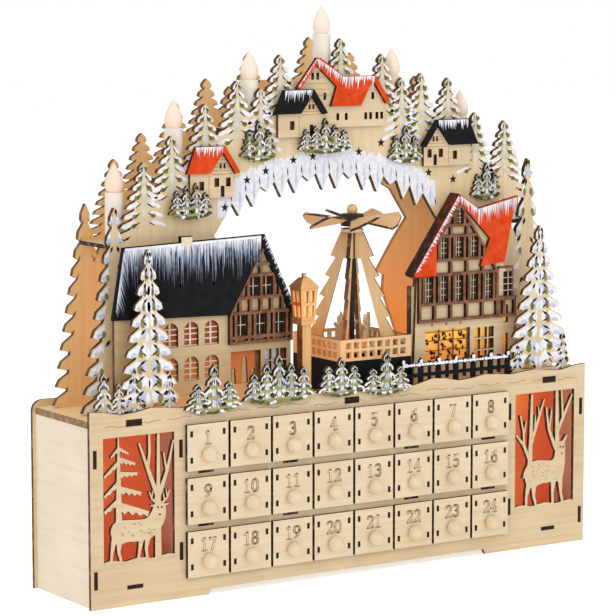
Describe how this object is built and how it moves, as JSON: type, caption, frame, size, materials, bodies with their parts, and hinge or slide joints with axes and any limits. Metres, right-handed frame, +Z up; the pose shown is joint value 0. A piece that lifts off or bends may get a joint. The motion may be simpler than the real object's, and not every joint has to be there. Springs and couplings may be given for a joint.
{
  "type": "wooden advent calendar",
  "caption": "Wooden advent calendar: a cabinet of numbered drawers under a candle-lit arch with a winter village and a turning pyramid.",
  "frame": {"origin": "on the table, under the middle of the whole object's box", "axes": "+X to the right of someone facing the drawers, +Y to the back, +Z up"},
  "size_m": [0.44, 0.0996, 0.42],
  "materials": {
    "birch_plywood": "laser-cut bare birch",
    "birch_drawer": "laser-cut bare birch with burnt edges",
    "snowy_spruce": "painted with snow and green",
    "slate_black": "black paint with snow",
    "tile_red": "red paint with snow",
    "timber_brown": "dark brown stain",
    "window_red": "translucent coloured sheet",
    "candle_ivory": "moulded",
    "bulb_clear": "clear, lit warm white",
    "battery_case": "moulded",
    "cell_sleeve": "shrink sleeve",
    "lamp_board": "moulded",
    "turned_beech": "turned and cut beech"
  },
  "bodies": {
    "cabinet": {"back_panel": "birch_plywood", "battery_cells": "cell_sleeve", "battery_holder": "battery_case", "black_cottage_roofs": "slate_black", "candle_bulbs": "bulb_clear", "candle_shelves": "birch_plywood", "candle_sleeves": "candle_ivory", "column_dividers": "birch_plywood", "cottage_walls": "birch_plywood", "deck_boards": "birch_plywood", "drawer_shelves": "birch_plywood", "floor_panel": "birch_plywood", "front_arch": "snowy_spruce", "front_panel": "birch_plywood", "garden_fence": "slate_black", "lamp_boards": "lamp_board", "left_house_roof": "slate_black", "left_house_wall": "birch_plywood", "pyramid_balustrade": "birch_plywood", "pyramid_base": "slate_black", "pyramid_frame": "birch_plywood", "rear_arch": "birch_plywood", "red_cottage_roofs": "tile_red", "right_house_roof": "tile_red", "right_house_wall": "birch_plywood", "sapling_clumps": "snowy_spruce", "side_panels": "birch_plywood", "standing_spruces": "snowy_spruce", "street_lantern": "birch_plywood", "timber_frames": "timber_brown", "window_backings": "window_red", "window_scenes": "birch_plywood"},
    "drawer_01": {"drawer_01": "birch_drawer"},
    "drawer_02": {"drawer_02": "birch_drawer"},
    "drawer_03": {"drawer_03": "birch_drawer"},
    "drawer_04": {"drawer_04": "birch_drawer"},
    "drawer_05": {"drawer_05": "birch_drawer"},
    "drawer_06": {"drawer_06": "birch_drawer"},
    "drawer_07": {"drawer_07": "birch_drawer"},
    "drawer_08": {"drawer_08": "birch_drawer"},
    "drawer_09": {"drawer_09": "birch_drawer"},
    "drawer_10": {"drawer_10": "birch_drawer"},
    "drawer_11": {"drawer_11": "birch_drawer"},
    "drawer_12": {"drawer_12": "birch_drawer"},
    "drawer_13": {"drawer_13": "birch_drawer"},
    "drawer_14": {"drawer_14": "birch_drawer"},
    "drawer_15": {"drawer_15": "birch_drawer"},
    "drawer_16": {"drawer_16": "birch_drawer"},
    "drawer_17": {"drawer_17": "birch_drawer"},
    "drawer_18": {"drawer_18": "birch_drawer"},
    "drawer_19": {"drawer_19": "birch_drawer"},
    "drawer_20": {"drawer_20": "birch_drawer"},
    "drawer_21": {"drawer_21": "birch_drawer"},
    "drawer_22": {"drawer_22": "birch_drawer"},
    "drawer_23": {"drawer_23": "birch_drawer"},
    "drawer_24": {"drawer_24": "birch_drawer"},
    "battery_cover": {"battery_cover": "battery_case"},
    "power_switch": {"power_switch": "battery_case"},
    "pyramid_spinner": {"pyramid_rotor": "turned_beech", "pyramid_turntable": "turned_beech"}
  },
  "joints": [
    {"name": "drawer_01_slide", "type": "slide", "parent": "cabinet", "child": "drawer_01", "axis": [0, -1, 0], "range_m": [0, 0.052]},
    {"name": "drawer_02_slide", "type": "slide", "parent": "cabinet", "child": "drawer_02", "axis": [0, -1, 0], "range_m": [0, 0.052]},
    {"name": "drawer_03_slide", "type": "slide", "parent": "cabinet", "child": "drawer_03", "axis": [0, -1, 0], "range_m": [0, 0.052]},
    {"name": "drawer_04_slide", "type": "slide", "parent": "cabinet", "child": "drawer_04", "axis": [0, -1, 0], "range_m": [0, 0.052]},
    {"name": "drawer_05_slide", "type": "slide", "parent": "cabinet", "child": "drawer_05", "axis": [0, -1, 0], "range_m": [0, 0.052]},
    {"name": "drawer_06_slide", "type": "slide", "parent": "cabinet", "child": "drawer_06", "axis": [0, -1, 0], "range_m": [0, 0.052]},
    {"name": "drawer_07_slide", "type": "slide", "parent": "cabinet", "child": "drawer_07", "axis": [0, -1, 0], "range_m": [0, 0.052]},
    {"name": "drawer_08_slide", "type": "slide", "parent": "cabinet", "child": "drawer_08", "axis": [0, -1, 0], "range_m": [0, 0.052]},
    {"name": "drawer_09_slide", "type": "slide", "parent": "cabinet", "child": "drawer_09", "axis": [0, -1, 0], "range_m": [0, 0.052]},
    {"name": "drawer_10_slide", "type": "slide", "parent": "cabinet", "child": "drawer_10", "axis": [0, -1, 0], "range_m": [0, 0.052]},
    {"name": "drawer_11_slide", "type": "slide", "parent": "cabinet", "child": "drawer_11", "axis": [0, -1, 0], "range_m": [0, 0.052]},
    {"name": "drawer_12_slide", "type": "slide", "parent": "cabinet", "child": "drawer_12", "axis": [0, -1, 0], "range_m": [0, 0.052]},
    {"name": "drawer_13_slide", "type": "slide", "parent": "cabinet", "child": "drawer_13", "axis": [0, -1, 0], "range_m": [0, 0.052]},
    {"name": "drawer_14_slide", "type": "slide", "parent": "cabinet", "child": "drawer_14", "axis": [0, -1, 0], "range_m": [0, 0.052]},
    {"name": "drawer_15_slide", "type": "slide", "parent": "cabinet", "child": "drawer_15", "axis": [0, -1, 0], "range_m": [0, 0.052]},
    {"name": "drawer_16_slide", "type": "slide", "parent": "cabinet", "child": "drawer_16", "axis": [0, -1, 0], "range_m": [0, 0.052]},
    {"name": "drawer_17_slide", "type": "slide", "parent": "cabinet", "child": "drawer_17", "axis": [0, -1, 0], "range_m": [0, 0.052]},
    {"name": "drawer_18_slide", "type": "slide", "parent": "cabinet", "child": "drawer_18", "axis": [0, -1, 0], "range_m": [0, 0.052]},
    {"name": "drawer_19_slide", "type": "slide", "parent": "cabinet", "child": "drawer_19", "axis": [0, -1, 0], "range_m": [0, 0.052]},
    {"name": "drawer_20_slide", "type": "slide", "parent": "cabinet", "child": "drawer_20", "axis": [0, -1, 0], "range_m": [0, 0.052]},
    {"name": "drawer_21_slide", "type": "slide", "parent": "cabinet", "child": "drawer_21", "axis": [0, -1, 0], "range_m": [0, 0.052]},
    {"name": "drawer_22_slide", "type": "slide", "parent": "cabinet", "child": "drawer_22", "axis": [0, -1, 0], "range_m": [0, 0.052]},
    {"name": "drawer_23_slide", "type": "slide", "parent": "cabinet", "child": "drawer_23", "axis": [0, -1, 0], "range_m": [0, 0.052]},
    {"name": "drawer_24_slide", "type": "slide", "parent": "cabinet", "child": "drawer_24", "axis": [0, -1, 0], "range_m": [0, 0.052]},
    {"name": "battery_cover_lift", "type": "slide", "parent": "cabinet", "child": "battery_cover", "axis": [0, 1, 0], "range_m": [0, 0.02]},
    {"name": "power_switch_slide", "type": "slide", "parent": "cabinet", "child": "power_switch", "axis": [1, 0, 0], "range_m": [0, 0.006]},
    {"name": "pyramid_spin", "type": "hinge", "parent": "cabinet", "child": "pyramid_spinner", "pos_m": [0.027, 0.0018, 0.2595], "axis": [0, 0, 1], "continuous": true}
  ]
}
